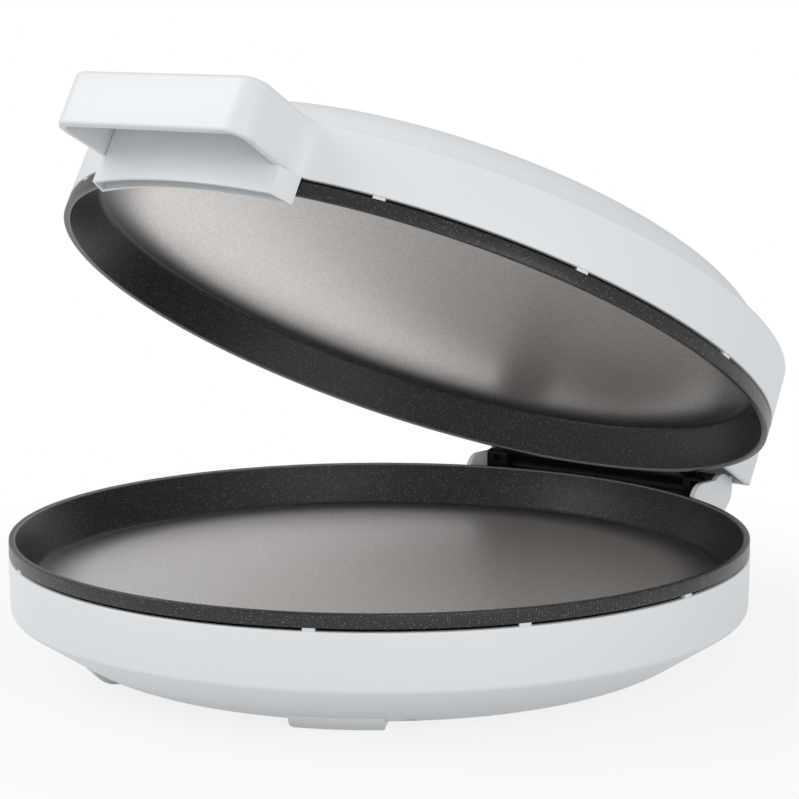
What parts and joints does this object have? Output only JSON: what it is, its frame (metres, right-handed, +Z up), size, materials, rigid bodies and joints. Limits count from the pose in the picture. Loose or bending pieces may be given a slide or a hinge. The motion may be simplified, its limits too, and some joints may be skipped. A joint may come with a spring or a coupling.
{
  "type": "electric_pizza_maker",
  "caption": "White electric pizza maker with two round non-stick pans, a broad front handle and a black rear hinge, lid part open",
  "frame": {"origin": "on the table, in the middle of the footprint of the whole part at rest, 18 mm behind the middle of the pans", "axes": "+X to the right seen from the handle, -Y towards the handle, +Y towards the hinge, +Z up"},
  "size_m": [0.3244, 0.3604, 0.2584],
  "materials": {
    "white_plastic": "satin white moulded shell plastic",
    "nonstick": "dark non-stick coating on cast aluminium, fine pale flecks",
    "black_plastic": "black moulded plastic",
    "sheath_steel": "drawn steel tube and stampings",
    "tinned": "thin bright reflector sheet",
    "plated_steel": "zinc plated screws and pins",
    "ceramic": "cream ceramic and phenolic",
    "black_rubber": "black rubber insulation",
    "red_lens": "clear red lens",
    "green_lens": "clear green lens"
  },
  "bodies": {
    "base": {"base_shell": "white_plastic", "base_pan": "nonstick", "base_element": "sheath_steel", "base_element_straps": "sheath_steel", "base_reflector": "tinned", "thermostat": "ceramic", "thermal_fuse": "plated_steel", "terminal_block": "ceramic", "base_leads": "black_rubber", "cord_bush": "black_rubber", "hinge_bracket_left": "black_plastic", "hinge_bracket_right": "black_plastic", "hinge_pins": "plated_steel", "base_screws": "plated_steel"},
    "lid": {"lid_shell": "white_plastic", "handle_shroud": "white_plastic", "lid_pan": "nonstick", "lid_pan_clips": "sheath_steel", "lid_element": "sheath_steel", "lid_element_straps": "sheath_steel", "lid_reflector": "tinned", "lid_fuse": "plated_steel", "lid_leads": "black_rubber", "hinge_arm_left": "black_plastic", "hinge_arm_right": "black_plastic", "power_lens": "red_lens", "ready_lens": "green_lens", "indicator_lamps": "ceramic", "lid_screws": "plated_steel"}
  },
  "joints": [
    {"name": "lid_hinge", "type": "hinge", "parent": "base", "child": "lid", "pos_m": [0, 0.153, 0.0543], "axis": [-1, 0, 0], "range_deg": [-28.7, 60]}
  ]
}
